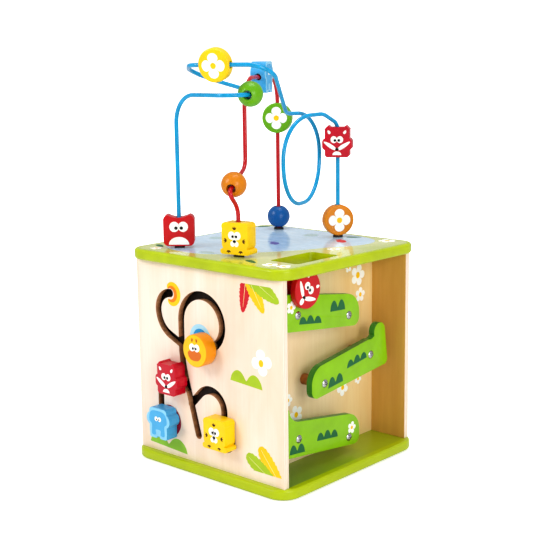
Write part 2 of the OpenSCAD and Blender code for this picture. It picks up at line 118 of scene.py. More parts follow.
class Graph:
    """A new node material: its tree, its principled shader and short ways to add nodes."""

    def __init__(self, name):
        self.material = bpy.data.materials.new(name)
        self.material.use_nodes = True
        self.tree = self.material.node_tree
        self.shader = self.tree.nodes["Principled BSDF"]
        self.coords = self.add("ShaderNodeTexCoord")

    def add(self, kind, inputs=None, **settings):
        made = self.tree.nodes.new(kind)
        for name, value in settings.items():
            setattr(made, name, value)
        for key, value in (inputs or {}).items():
            self.put(made.inputs[key], value)
        return made

    def put(self, socket, value):
        if isinstance(value, bpy.types.NodeSocket):
            self.tree.links.new(value, socket)
        else:
            socket.default_value = value

    def set(self, **values):
        for name, value in values.items():
            self.put(self.shader.inputs[name.replace("_", " ")], value)

    def place(self, stretch=(1, 1, 1)):
        """The point on the piece, squeezed along each axis, as a texture place."""
        return self.add(
            "ShaderNodeMapping",
            {"Vector": self.coords.outputs["Object"], "Scale": stretch},
        ).outputs[0]

    def noise(self, scale, stretch=(1, 1, 1), detail=3.0, distortion=0.0):
        return self.add(
            "ShaderNodeTexNoise",
            {
                "Vector": self.place(stretch),
                "Scale": scale,
                "Detail": detail,
                "Distortion": distortion,
            },
        ).outputs["Fac"]

    def blend(self, factor, a, b):
        made = self.add("ShaderNodeMix", data_type="RGBA")
        self.put(made.inputs[0], factor)
        self.put(made.inputs[6], a)
        self.put(made.inputs[7], b)
        return made.outputs[2]

    def span(self, value, low, high, to_low=0.0, to_high=1.0):
        """value from low..high onto to_low..to_high, held at the ends."""
        return self.add(
            "ShaderNodeMapRange",
            {0: value, 1: low, 2: high, 3: to_low, 4: to_high},
        ).outputs[0]

    def math(self, how, a, b=0.0):
        return self.add("ShaderNodeMath", {0: a, 1: b}, operation=how).outputs[0]

    def axis(self, which, source="Object"):
        split = self.add("ShaderNodeSeparateXYZ", {0: self.coords.outputs[source]})
        return split.outputs[which]

    def facing(self, direction):
        """1 on faces that look along a direction or straight against it, 0 on faces across it."""
        dot = self.add(
            "ShaderNodeVectorMath",
            {0: self.coords.outputs["Normal"], 1: tuple(Vector(direction).normalized())},
            operation="DOT_PRODUCT",
        )
        return self.math("ABSOLUTE", dot.outputs["Value"])

    def bump(self, height, strength, distance):
        made = self.add(
            "ShaderNodeBump",
            {"Height": height, "Strength": strength, "Distance": distance},
        )
        self.put(self.shader.inputs["Normal"], made.outputs[0])

    def edges(self, radius):
        """1 along outside and inside edges, fading to 0 on open faces."""
        turned = self.add("ShaderNodeBevel", {"Radius": radius}, samples=4)
        plain = self.add("ShaderNodeNewGeometry")
        dot = self.add(
            "ShaderNodeVectorMath",
            {0: turned.outputs[0], 1: plain.outputs["Normal"]},
            operation="DOT_PRODUCT",
        )
        return self.span(dot.outputs["Value"], 0.995, 0.9)


def painted(name, colour, sheen=0.3, wear=0.3, side_colour=None, front=(0, 1, 0)):
    """Glossy paint on wood: mottled, a little grain telling through, thinner on the edges.

    A side colour, if one is given, covers every face but those along the `front` direction.
    """
    g = Graph(name)
    mottle = g.noise(38, detail=4)
    tint = g.blend(g.span(mottle, 0.3, 0.7), shade(colour, 0.9), shade(colour, 1.06))
    # the ramps' side colour is their own edge paint; on the chick and sky-blue pieces it is painted
    # shade
    if side_colour:
        tint = g.blend(g.span(g.facing(front), 0.95, 0.8), tint, side_colour)
    thin = g.math("MULTIPLY", g.edges(0.0012), wear)
    tint = g.blend(thin, tint, shade(colour, 1.35))
    grain = g.noise(420, stretch=(1, 1, 0.06), detail=5)
    tint = g.blend(g.span(grain, 0.35, 0.75, 0, 0.12), tint, shade(colour, 0.8))
    g.set(
        Base_Color=tint,
        Roughness=g.span(g.noise(120), 0.3, 0.7, sheen, sheen + 0.12),
        Specular_IOR_Level=0.3,
        Coat_Weight=0.12,
        Coat_Roughness=0.1,
    )
    g.bump(grain, 0.12, 0.0003)
    return g.material


def floor_paint(name, half_body, top_z):
    """The bottom plate: lime, with painted shade inside the run, a deeper green darkest by the maze
    side.
    """
    g = Graph(name)
    mottle = g.noise(38, detail=4)
    lime = g.blend(g.span(mottle, 0.3, 0.7), shade(LIME, 0.95), shade(LIME, 1.04))
    # painted shade: the floor's top face inside the run's walls, where they shade it
    far = g.math("MAXIMUM", g.math("ABSOLUTE", g.axis(0)), g.math("ABSOLUTE", g.axis(1)))
    inside = g.math(
        "MULTIPLY",
        g.span(far, half_body, half_body - 1 * MM),
        g.span(g.axis(2), top_z - 0.2 * MM, top_z - 0.1 * MM),
    )
    # the painted shade is deepest by the maze side and fades towards the far wall
    across = g.span(g.axis(1), -half_body, 0.4 * half_body, 1.0, 0.25)
    g.set(
        Base_Color=g.blend(g.math("MULTIPLY", inside, across), lime, RUN_FLOOR_SHADE_GREEN),
        Roughness=g.span(g.noise(120), 0.3, 0.7, 0.3, 0.34),
        Specular_IOR_Level=0.3,
        Coat_Weight=0.15,
        Coat_Roughness=0.1,
    )
    g.bump(g.noise(500, detail=2), 0.03, 0.0001)
    return g.material


def ink(name, colour, sheen=0.42):
    """Screen-printed ink: near flat, with a slight cloudiness and a fine tooth."""
    g = Graph(name)
    cloud = g.noise(60, detail=5)
    tint = g.blend(g.span(cloud, 0.3, 0.7), shade(colour, 0.93), shade(colour, 1.04))
    g.set(
        Base_Color=tint,
        Roughness=g.span(g.noise(300), 0.3, 0.7, sheen, sheen + 0.1),
        Specular_IOR_Level=0.25,
    )
    g.bump(g.noise(900, detail=2), 0.05, 0.0001)
    return g.material


PALE_BIRCH = srgb(247, 230, 214)
TAN_BIRCH = srgb(236, 206, 176)
# birch darkened to honey: painted shade on the walls inside the run
PALE_HONEY_SHADE = srgb(248, 220, 160)
TAN_HONEY_SHADE = srgb(232, 188, 112)
DEEP_HONEY_SHADE = srgb(214, 164, 80)
DARK_HONEY_SHADE = srgb(184, 130, 48)
PLY_LIGHT = srgb(246, 232, 216)
PLY_DARK = srgb(230, 206, 182)
VENEER_PAIR = 3 * MM  # one light and one dark veneer


def birch_figure(g, pale, tan):
    """Birch face veneer: broad cloudy figure with fine upright fibres and a few flecks."""
    figure = g.noise(7, stretch=(1.6, 1.6, 0.32), detail=6, distortion=1.6)
    fibres = g.noise(260, stretch=(1, 1, 0.035), detail=6)
    flecks = g.noise(900, stretch=(1, 1, 0.1), detail=2)
    tint = g.blend(g.span(figure, 0.35, 0.75, 0, 0.8), pale, tan)
    tint = g.blend(g.span(fibres, 0.42, 0.7, 0, 0.14), tint, shade(tan, 0.86))
    tint = g.blend(g.span(flecks, 0.68, 0.76, 0, 0.25), tint, shade(tan, 0.66))
    return tint, fibres


def ply_edge(g, across):
    """Ply edge: light and dark veneers stacked along the panel's thickness."""
    veneers = g.math("SINE", g.math("MULTIPLY", g.axis(across), 2 * math.pi / VENEER_PAIR))
    wander = g.math("ADD", veneers, g.math("MULTIPLY", g.noise(160), 0.9))
    return g.blend(g.span(wander, 0.1, 0.9), PLY_LIGHT, PLY_DARK)


def ply_edged(g, tint, across):
    """The tint on a panel's two faces, and its stacked veneers on the edges."""
    facing = g.math("ABSOLUTE", g.axis(across, "Normal"))
    return g.blend(g.span(facing, 0.5, 0.3), tint, ply_edge(g, across))


def varnished(g, tint, fibres):
    """Satin varnish over a wood tint, its fibres faintly raised."""
    g.set(Base_Color=tint, Roughness=g.span(fibres, 0.3, 0.7, 0.42, 0.56), Coat_Weight=0.15)
    g.bump(fibres, 0.06, 0.0002)
    return g.material


def birch_ply(name, across):
    """Birch plywood whose thickness runs along one axis: veneer faces and ply edges."""
    g = Graph(name)
    tint, fibres = birch_figure(g, PALE_BIRCH, TAN_BIRCH)
    return varnished(g, ply_edged(g, tint, across), fibres)


def grooved_ply(name, face_y, half_width):
    """The maze panel: birch on its faces and outer edges, scorched walnut brown in the grooves."""
    g = Graph(name)
    tint, fibres = birch_figure(g, PALE_BIRCH, TAN_BIRCH)
    facing = g.math("ABSOLUTE", g.axis(1, "Normal"))
    deep = g.span(g.axis(1), face_y + 0.2 * MM, face_y + 0.5 * MM)
    beside = g.span(g.math("ABSOLUTE", g.axis(0)), half_width - 1 * MM, half_width - 2 * MM)
    wall = g.math("MULTIPLY", g.math("MULTIPLY", deep, beside), g.span(facing, 0.5, 0.3))
    scorch = g.noise(170, stretch=(1, 0.25, 1), detail=5)
    brown = g.blend(g.span(scorch, 0.3, 0.7), shade(WALNUT, 0.7), shade(WALNUT, 1.25))
    return varnished(g, g.blend(wall, ply_edged(g, tint, 1), brown), fibres)


def side_ply(name, inner_y):
    """The right-hand panel: honey-toned painted shade where it walls in the run, pale birch outside,
    ply edges.
    """
    g = Graph(name)
    pale, fibres = birch_figure(g, PALE_BIRCH, TAN_BIRCH)
    honey_shade, _ = birch_figure(g, DEEP_HONEY_SHADE, DARK_HONEY_SHADE)
    # the inner face gets the honey painted shade; the outside stays pale
    tint = g.blend(g.span(g.axis(1), inner_y + 0.2 * MM, inner_y + 0.6 * MM), honey_shade, pale)
    return varnished(g, ply_edged(g, tint, 1), fibres)


def shaded_ply(name, low_y, high_y):
    """The run's back panel: pale by the maze side, deepening to honey as painted shade towards the
    far wall.
    """
    g = Graph(name)
    tint, fibres = birch_figure(g, PALE_BIRCH, TAN_BIRCH)
    honey_shade, _ = birch_figure(g, PALE_HONEY_SHADE, TAN_HONEY_SHADE)
    # the painted shade deepens along y, towards the far wall
    return varnished(g, g.blend(g.span(g.axis(1), low_y, high_y, 0.3, 1.0), tint, honey_shade), fibres)


def bare_wood(name, colour):
    g = Graph(name)
    fibres = g.noise(320, stretch=(1, 1, 0.1), detail=6)
    rings = g.noise(70, stretch=(1, 0.3, 1), detail=4, distortion=1.0)
    tint = g.blend(g.span(rings, 0.3, 0.7), shade(colour, 0.82), shade(colour, 1.12))
    tint = g.blend(g.span(fibres, 0.45, 0.7, 0, 0.35), tint, shade(colour, 0.65))
    g.set(Base_Color=tint, Roughness=g.span(fibres, 0.3, 0.7, 0.5, 0.7))
    g.bump(fibres, 0.2, 0.0003)
    return g.material


def coated_wire(name, colour):
    """Smooth plastic-dipped wire with faint runs in the coating and handling scuffs."""
    g = Graph(name)
    runs = g.noise(90, stretch=(1, 1, 0.35), detail=3)
    scuffs = g.noise(520, detail=4)
    tint = g.blend(g.span(runs, 0.3, 0.7), shade(colour, 0.86), shade(colour, 1.1))
    g.set(
        Base_Color=tint,
        Roughness=g.span(scuffs, 0.45, 0.75, 0.2, 0.38),
        Specular_IOR_Level=0.35,
        Coat_Weight=0.2,
        Coat_Roughness=0.08,
    )
    g.bump(runs, 0.08, 0.0003)
    return g.material


def steel(name):
    g = Graph(name)
    brushed = g.noise(800, stretch=(0.1, 1, 1), detail=4)
    # near black along the screw's edges and in its recess: painted shade
    edge_and_recess_shade = g.span(g.edges(0.0006), 0.1, 0.8)
    tint = g.blend(g.span(brushed, 0.3, 0.7), srgb(150, 150, 152), srgb(214, 214, 216))
    tint = g.blend(edge_and_recess_shade, tint, srgb(40, 38, 38))
    g.set(Base_Color=tint, Metallic=1.0, Roughness=g.span(brushed, 0.3, 0.7, 0.14, 0.28))
    g.bump(brushed, 0.15, 0.0001)
    return g.material


def rubber(name):
    g = Graph(name)
    tooth = g.noise(600, detail=4)
    tint = g.blend(g.span(tooth, 0.3, 0.7), srgb(20, 19, 19), srgb(38, 36, 36))
    g.set(Base_Color=tint, Roughness=g.span(tooth, 0.3, 0.7, 0.55, 0.75))
    g.bump(tooth, 0.2, 0.0002)
    return g.material


def deck_paint(name, half_side):
    """The printed deck ground: pale yellow-green, deepening to lime towards the rim."""
    g = Graph(name)
    far = g.math("MAXIMUM", g.math("ABSOLUTE", g.axis(0)), g.math("ABSOLUTE", g.axis(1)))
    wash = g.math("ADD", g.span(far, 0.6 * half_side, half_side, 0, 0.6), g.noise(18))
    tint = g.blend(g.span(wash, 0.45, 1.2), PALE_DECK, LIME)
    g.set(Base_Color=tint, Roughness=g.span(g.noise(90), 0.3, 0.7, 0.16, 0.28), Coat_Weight=0.5)
    g.bump(g.noise(500, detail=2), 0.03, 0.0001)
    return g.material


def pond_paint(name):
    g = Graph(name)
    ripples = g.noise(22, stretch=(1, 1.8, 1), detail=4, distortion=0.8)
    tint = g.blend(g.span(ripples, 0.35, 0.7), POND, srgb(206, 230, 246))
    g.set(Base_Color=tint, Roughness=g.span(g.noise(90), 0.3, 0.7, 0.14, 0.26), Coat_Weight=0.5)
    g.bump(ripples, 0.03, 0.0002)
    return g.material


# ---------------------------------------------------------------- meshes


def finish_mesh(name, bm, material, body, crease=30):
    """Turns a bmesh into a piece that rides on a body, smooth but for its sharper edges."""
    mesh = bpy.data.meshes.new(name)
    for face in bm.faces:
        face.smooth = True
    bm.to_mesh(mesh)
    bm.free()
    mesh.set_sharp_from_angle(angle=math.radians(crease))
    mesh.materials.append(material)
    piece = bpy.data.objects.new(name, mesh)
    bpy.context.scene.collection.objects.link(piece)
    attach(piece, body)
    return piece


def body_of_node(node):
    for body, members in frame["record"]["behaviour"]["bodies"].items():
        if node in members:
            return body
    raise ValueError(node)


def clean_copy(node):
    """The CAD node's mesh with its split corners joined and its flat faces made whole."""
    bm = bmesh.new()
    bm.from_mesh(nodes[node].data)
    bmesh.ops.remove_doubles(bm, verts=bm.verts, dist=1e-6)
    bmesh.ops.dissolve_limit(bm, angle_limit=math.radians(0.6), verts=bm.verts, edges=bm.edges)
    return bm


def stand_for(piece, node):
    """Hides the CAD node that the piece stands for."""
    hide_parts(node)


def softened(node, material, radius, steps=3, crease=35):
    """Stands for a CAD node: the same shape with its sharp edges rounded over."""
    bm = clean_copy(node)
    sharp = [
        e
        for e in bm.edges
        if e.is_manifold and abs(e.calc_face_angle()) > math.radians(crease)
    ]
    bmesh.ops.bevel(
        bm,
        geom=sharp,
        offset=radius * MM,
        segments=steps,
        profile=0.5,
        affect="EDGES",
        clamp_overlap=True,
    )
    stand_for(finish_mesh(node + "_soft", bm, material, body_of_node(node), crease=40), node)


def centre_of(node):
    low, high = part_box(node)
    return (low + high) / 2


class Face:
    """A flat face to print on: a point (u, v) in mm from its origin, standing off by `lift`."""

    def __init__(self, origin, right, up, body, host=None):
        self.origin = Vector(origin)
        self.right = Vector(right).normalized()
        self.up = Vector(up).normalized()
        self.out = self.right.cross(self.up)
        self.body = body
        self.host = host

    def at(self, point, lift):
        u, v = point
        return self.origin + MM * (u * self.right + v * self.up + lift * self.out)


def prism(bm, face, outline, low, high):
    """A closed slab over an outline, between two heights above the face."""
    bottom = [bm.verts.new(face.at(p, low)) for p in outline]
    top = [bm.verts.new(face.at(p, high)) for p in outline]
    bm.faces.new(list(reversed(bottom)))
    bm.faces.new(top)
    count = len(outline)
    for i in range(count):
        j = (i + 1) % count
        bm.faces.new((bottom[i], bottom[j], top[j], top[i]))


def counter_clockwise(outline):
    area = 0.0
    for (x0, y0), (x1, y1) in zip(outline, outline[1:] + outline[:1]):
        area += x0 * y1 - x1 * y0
    return outline if area > 0 else outline[::-1]


def printed(name, face, outlines, material, layer=1):
    """Ink laid on a face: one thin slab per outline, as high as its layer of the print."""
    bm = bmesh.new()
    for outline in outlines:
        prism(bm, face, counter_clockwise(outline), -INK_SINK, LAYER * layer)
    return finish_mesh(name, bm, material, face.body, crease=30)


def printed_clipped(name, face, outlines, material, layer=1):
    """Ink laid on a face with holes or grooves in it, cut where the face is."""
    bm = bmesh.new()
    for outline in outlines:
        prism(bm, face, counter_clockwise(outline), -CLIP_DEPTH, CLIP_DEPTH)
    piece = finish_mesh(name, bm, material, face.body)
    host_bm = clean_copy(face.host)
    host_mesh = bpy.data.meshes.new("cutter")
    host_bm.to_mesh(host_mesh)
    host_bm.free()
    host = bpy.data.objects.new("cutter", host_mesh)
    bpy.context.scene.collection.objects.link(host)
    cut = piece.modifiers.new("cut", "BOOLEAN")
    cut.operation = "INTERSECT"
    cut.solver = "EXACT"
    cut.object = host
    evaluated = piece.evaluated_get(bpy.context.evaluated_depsgraph_get())
    mesh = bpy.data.meshes.new_from_object(evaluated)
    piece.modifiers.clear()
    bpy.data.objects.remove(host)
    mesh.transform(Matrix.Translation(face.out * (LAYER * layer * MM)))
    mesh.materials.clear()
    mesh.materials.append(material)
    for polygon in mesh.polygons:
        polygon.use_smooth = False
    piece.data = mesh
    return piece


def tube(name, points, radius, material, body, sides=20):
    """A round tube along a line of points, its rings carried on without twist."""
    bm = bmesh.new()
    rings = []
    tangents = []
    for i in range(len(points)):
        before = points[max(i - 1, 0)]
        after = points[min(i + 1, len(points) - 1)]
        tangents.append((after - before).normalized())
    side = tangents[0].orthogonal().normalized()
    for point, tangent in zip(points, tangents):
        side = (side - tangent * side.dot(tangent)).normalized()
        other = tangent.cross(side)
        ring = []
        for k in range(sides):
            a = 2 * math.pi * k / sides
            spoke = math.cos(a) * side + math.sin(a) * other
            ring.append(bm.verts.new(MM * (point + radius * spoke)))
        rings.append(ring)
    for a, b in zip(rings, rings[1:]):
        for k in range(sides):
            n = (k + 1) % sides
            bm.faces.new((a[k], a[n], b[n], b[k]))
    bm.faces.new(list(reversed(rings[0])))
    bm.faces.new(rings[-1])
    return finish_mesh(name, bm, material, body, crease=50)


def lathe(name, profile, centre, axis, material, body, sides=72):
    """A closed ring-shaped solid: a closed profile of (radius, height) turned about an axis."""
    bm = bmesh.new()
    z = Vector(axis).normalized()
    x = z.orthogonal().normalized()
    y = z.cross(x)
    rings = []
    for k in range(sides):
        a = 2 * math.pi * k / sides
        spoke = math.cos(a) * x + math.sin(a) * y
        rings.append([bm.verts.new(centre + MM * (r * spoke + h * z)) for r, h in profile])
    count = len(profile)
    for k in range(sides):
        a, b = rings[k], rings[(k + 1) % sides]
        for i in range(count):
            j = (i + 1) % count
            bm.faces.new((a[i], b[i], b[j], a[j]))
    bmesh.ops.recalc_face_normals(bm, faces=bm.faces)
    return finish_mesh(name, bm, material, body, crease=50)


# ---------------------------------------------------------------- outlines


def oval(centre, a, b, start=0.0, stop=360.0, steps=40):
    """Points of an ellipse, or of part of one between two angles in degrees."""
    points = []
    whole = stop - start >= 360
    for k in range(steps if whole else steps + 1):
        angle = math.radians(start + (stop - start) * k / steps)
        points.append((centre[0] + a * math.cos(angle), centre[1] + b * math.sin(angle)))
    return points


def crescent(centre, inner, outer, start, stop, steps=40):
    """A ring sector that is widest in the middle and tapers to points at its ends."""
    outside = []
    inside = []
    for k in range(steps + 1):
        t = k / steps
        angle = math.radians(start + (stop - start) * t)
        swell = math.sin(math.pi * t) ** 0.55
        r_out = inner + (outer - inner) * swell
        outside.append((centre[0] + r_out * math.cos(angle), centre[1] + r_out * math.sin(angle)))
        if 0 < k < steps:
            inside.append((centre[0] + inner * math.cos(angle), centre[1] + inner * math.sin(angle)))
    return outside + inside[::-1]


def leaf(base, tip, width, teeth=0, steps=48):
    """A pointed leaf from base to tip; teeth cut small notches along both sides."""
    base, tip = Vector(base), Vector(tip)
    along = tip - base
    across = Vector((-along.y, along.x)).normalized()
    left = []
    right = []
    for k in range(1, steps):
        t = k / steps
        half = width / 2 * math.sin(math.pi * t ** 0.72) ** 0.5
        if teeth:
            half *= 1 - 0.17 * ((t * teeth) % 1.0)
        spine = base + along * t
        left.append(tuple(spine + across * half))
        right.append(tuple(spine - across * half))
    return [tuple(base)] + right + [tuple(tip)] + left[::-1]


def cut_level(outline, level, side):
    """The part of an outline above (side 1) or below (side -1) a level."""
    kept = []
    for (u0, v0), (u1, v1) in zip(outline, outline[1:] + outline[:1]):
        inside = side * (v0 - level) >= 0
        if inside:
            kept.append((u0, v0))
        if inside != (side * (v1 - level) >= 0):
            kept.append((u0 + (u1 - u0) * (level - v0) / (v1 - v0), level))
    return kept


def vein(base, tip, width=0.5):
    """The pale midrib of a leaf, a thin sliver along its spine."""
    base, tip = Vector(base), Vector(tip)
    start = base + (tip - base) * 0.06
    end = base + (tip - base) * 0.86
    return leaf(start, end, width)


def bush(start, end, height, humps, steps=14):
    """A clump of round-topped mounds on a sloping base line; of three, the middle is tallest."""
    start, end = Vector(start), Vector(end)
    top = []
    for k in range(1, steps * humps):
        hump, step = divmod(k, steps)
        arch = max(0.3, math.sin(math.pi * step / steps) ** 0.55)
        tall = height * (1.0 if humps == 2 or hump == 1 else 0.86)
        p = start + (end - start) * (k / (steps * humps))
        top.append((p.x, p.y + tall * arch))
    return [tuple(start)] + top + [tuple(end)]


def petals(centre, radius, count=4, turn=0.0, fat=0.44):
    """A flower of round petals, as one outline."""
    points = []
    steps = 24 * count
    for k in range(steps):
        angle = 2 * math.pi * k / steps
        wave = abs(math.cos(count * angle / 2)) ** fat
        r = radius * (0.42 + 0.58 * wave)
        a = angle + math.radians(turn)
        points.append((centre[0] + r * math.cos(a), centre[1] + r * math.sin(a)))
    return points


def smooth_loop(corners, steps=8):
    """A closed smooth curve through a few points (Catmull-Rom)."""
    points = []
    count = len(corners)
    for i in range(count):
        p0, p1, p2, p3 = (Vector(corners[(i + k - 1) % count]) for k in range(4))
        for k in range(steps):
            t = k / steps
            q = (2 * p1 + (p2 - p0) * t + (2 * p0 - 5 * p1 + 4 * p2 - p3) * t * t
                 + (3 * p1 - p0 - 3 * p2 + p3) * t ** 3) / 2
            points.append((q.x, q.y))
    return points


def placed(outline, centre, size, turn):
    """An outline made `size` times as large, turned anticlockwise and moved to a centre."""
    c, s = math.cos(math.radians(turn)), math.sin(math.radians(turn))
    return [(centre[0] + size * (x * c - y * s), centre[1] + size * (x * s + y * c))
            for x, y in outline]


def fish(centre, length, turn):
    """A fish from above: a plump body and a forked tail."""
    corners = [(0.5, 0), (0.25, 0.2), (-0.1, 0.2), (-0.3, 0.06), (-0.5, 0.2),
               (-0.42, 0), (-0.5, -0.2), (-0.3, -0.06), (-0.1, -0.2), (0.25, -0.2)]
    return smooth_loop(placed(corners, centre, length, turn))


# ---------------------------------------------------------------- critter faces


class Features:
    """The printed features of one animal, each list of outlines in its own ink."""

    def __init__(self):
        self.white = []
        self.black = []
        self.other = []


def eyes(apart, height, size, pupil):
    """A pair of round white eyes that touch, with pupils looking a little inwards."""
    inward, down = 0.35 * size, 0.25 * size
    whites = [oval((side * apart, height), size, size * 1.05) for side in (-1, 1)]
    pupils = [oval((side * (apart - inward), height - down), pupil, pupil) for side in (-1, 1)]
    return whites, pupils


def owl_features():
    f = Features()
    whites, pupils = eyes(6.3, 5.5, 7.0, 2.4)
    f.white = whites + [oval((0, -20), 14.5, 11, start=0, stop=180)]
    f.black = pupils
    return f


def tuft(x, y, length, turns):
    """A few short tapering strokes fanning from one spot."""
    strokes = []
    for turn in turns:
        a = math.radians(turn)
        tip = (x + length * math.cos(a), y + length * math.sin(a))
        strokes.append(leaf((x, y), tip, 2.0, steps=8))
    return strokes


def leopard_features():
    f = Features()
    whites, pupils = eyes(4.6, 4.2, 5.3, 1.9)
    muzzle = [oval((side * 2.9, -7.2), 3.6, 3.8) for side in (-1, 1)]
    f.white = whites + muzzle + [oval((0, -2.4), 3.0, 4.0)]
    f.black = pupils + [oval((0, -3.6), 2.5, 2.0)]
    f.other = (
        tuft(0, 12, 5, (50, 90, 130))
        + tuft(-12.5, -3, 5, (140, 180, 220))
        + tuft(12.5, -3, 5, (-40, 0, 40))
        + tuft(-9.5, -16.5, 4, (215, 270, 325))
        + tuft(9.5, -16.5, 4, (215, 270, 325))
    )
    return f


def fox_features(round_chin=False):
    """A fox's face; its chin is a full oval where there is room under it, or a half one."""
    f = Features()
    whites, pupils = eyes(4.5, 2.6, 4.8, 2.0)
    cheeks = [leaf((side * 1.5, -12), (side * 19.5, -0.5), 5.6, steps=20) for side in (-1, 1)]
    brows = [leaf((side * 10, 11), (side * 13.5, 16), 4, steps=12) for side in (-1, 1)]
    chin = oval((0, -17.5), 3.4, 4.6) if round_chin else oval((0, -20), 6.6, 5.4, start=0, stop=180)
    f.white = whites + cheeks + brows + [chin]
    f.black = pupils + [oval((0, -11.5), 2.6, 2.1)]
    return f


def chick_features():
    f = Features()
    whites, pupils = eyes(4.6, 4.6, 5.2, 1.8)
    f.white = whites
    f.black = pupils
    beak = smooth_loop([(-13, -5), (-8, 0), (8, 0), (13, -5), (7, -13), (-7, -13)])
    f.other = [beak] + tuft(-4.5, 12.5, 5.5, (70, 100)) + tuft(4.5, 12.5, 5.5, (80, 110))
    return f


def elephant_features():
    f = Features()
    whites, pupils = eyes(3.4, 6.5, 3.3, 1.1)
    f.white = whites
    f.black = pupils
    head = [(-10, 18), (10, 18), (17, 12), (18, 2), (13, -3), (13, -17), (5, -17), (5, -10),
            (-5, -10), (-5, -17), (-13, -17), (-13, -3), (-18, 2), (-17, 12)]
    f.other = [smooth_loop(head, steps=5)]
    return f


def draw_critter(name, face, features, other_ink, turn=0.0, size=1.0):
    """Prints an animal's features on a face in three inks, the pupils on top."""

    def put(outlines):
        return [placed(outline, (0, 0), size, turn) for outline in outlines]

    if features.other:
        printed(name + "_marks", face, put(features.other), other_ink, layer=1)
    printed(name + "_white", face, put(features.white), INK["white"], layer=2)
    printed(name + "_black", face, put(features.black), INK["black"], layer=3)


def bead_face(node, turn, thick, side=1):
    """The front (or back) face of an upright bead turned by `turn` degrees about Z."""
    a = math.radians(turn)
    right = side * Vector((math.cos(a), math.sin(a), 0))
    out = right.cross(Vector((0, 0, 1)))
    return Face(centre_of(node) + out * thick / 2 * MM, right, (0, 0, 1), body_of_node(node))


# ---------------------------------------------------------------- materials in use

INK = {
    "white": ink("ink_white", WHITE),
    "black": ink("ink_black", BLACK),
    "brown": ink("ink_brown", BROWN_INK),
    "red": ink("ink_red", srgb(206, 30, 44)),
    "maroon": ink("ink_maroon", srgb(150, 20, 50)),
    "orange": ink("ink_orange", srgb(240, 130, 20)),
    "yellow": ink("ink_yellow", srgb(250, 200, 20)),
    "leaf": ink("ink_leaf", LEAF_GREEN),
    "vein": ink("ink_vein", srgb(246, 238, 170)),
    "bush": ink("ink_bush", BUSH_GREEN),
    "meadow": ink("ink_meadow", srgb(140, 192, 60)),
    "sky": ink("ink_sky", DEEP_SKY),
    "soft_sky": ink("ink_soft_sky", srgb(84, 174, 224)),
    "halo": ink("ink_halo", srgb(170, 222, 244)),
    "beak": ink("ink_beak", srgb(214, 112, 36)),
    "pad": ink("ink_pad", srgb(176, 196, 196)),
    "purple": ink("ink_purple", srgb(96, 92, 160)),
}

LIME_PAINT = painted("lime_paint", LIME)
GREEN_PAINT = painted("green_paint", RAMP_GREEN, side_colour=RAMP_EDGE, front=(1, 0, 0))
RED_PAINT = painted("red_paint", RED)
FOX_PAINT = painted("fox_paint", FOX_RED)
YELLOW_PAINT = painted("yellow_paint", YELLOW)
ORANGE_PAINT = painted("orange_paint", ORANGE)
# the chick's sides carry painted shade
CHICK_PAINT_AND_SHADE = painted("chick_paint_and_shade", CHICK, side_colour=CHICK_SHADED_SIDE)
LEAF_PAINT = painted("leaf_paint", LEAF)
BLUE_PAINT = painted("blue_paint", BLUE)
PLAIN_WOOD = bare_wood("plain_wood", srgb(222, 186, 132))
BROWN_WOOD = bare_wood("brown_wood", DOWEL)
# a dark board, made near black as painted shade for the floors of the narrow grooves
GROOVE_SHADE_WOOD = bare_wood("groove_shade_wood", srgb(44, 28, 18))

maze_low, maze_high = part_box("maze_panel")
run_low, run_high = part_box("run_panel")
top_low, top_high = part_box("top_plate")
ramp_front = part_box("ramp_top")[1].x

# ---------------------------------------------------------------- box

softened("top_plate", LIME_PAINT, 0.8)
base_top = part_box("bottom_plate")[1].z
softened("bottom_plate", floor_paint("base_paint_and_floor_shade", maze_high.x, base_top), 0.8)
softened("maze_panel", grooved_ply("maze_ply", maze_low.y, maze_high.x), 0.5, steps=2)
# the backing shows as the groove floors; its near-black is painted shade
softened("maze_backing", GROOVE_SHADE_WOOD, 0.4, steps=2)
softened("run_panel", shaded_ply("run_ply", run_low.y, run_high.y), 0.4, steps=2)
softened("side_panel", side_ply("side_ply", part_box("side_panel")[0].y), 0.6, steps=2)
softened("rear_panel", birch_ply("rear_ply", 0), 0.6, steps=2)
for ramp in ("ramp_top", "ramp_middle", "ramp_low"):
    softened(ramp, GREEN_PAINT, 0.9)
softened("ramp_spacers", BROWN_WOOD, 0.4, steps=2)
softened("ramp_screws", steel("screw_steel"), 0.25, steps=2)
softened("wire_ferrules", rubber("black_rubber"), 0.7)

# ---------------------------------------------------------------- wires

WIRE_R = 3.0
WIRE_END = round(top_low.z / MM, 3)  # both wires end level with the top plate's underside

# where the four posts stand, each named after a bead on it, and how high the level runs are
OWL_FOOT, FOX_FOOT = (-92, -99), (29, 112)
LEOPARD_FOOT, BALL_FOOT = (27, -101), (-94, 117)
LOW_RUN, TOP_RUN, RED_RUN = 529, 569, 550

# the upright loop: where its two sides stand, its top and bottom, and the radius it is bent to
LOOP_FAR, LOOP_NEAR = (-9, 115), (30.5, -11.5)
LOOP_TOP, LOOP_LOW, LOOP_R = 494.5, 368, 60.5

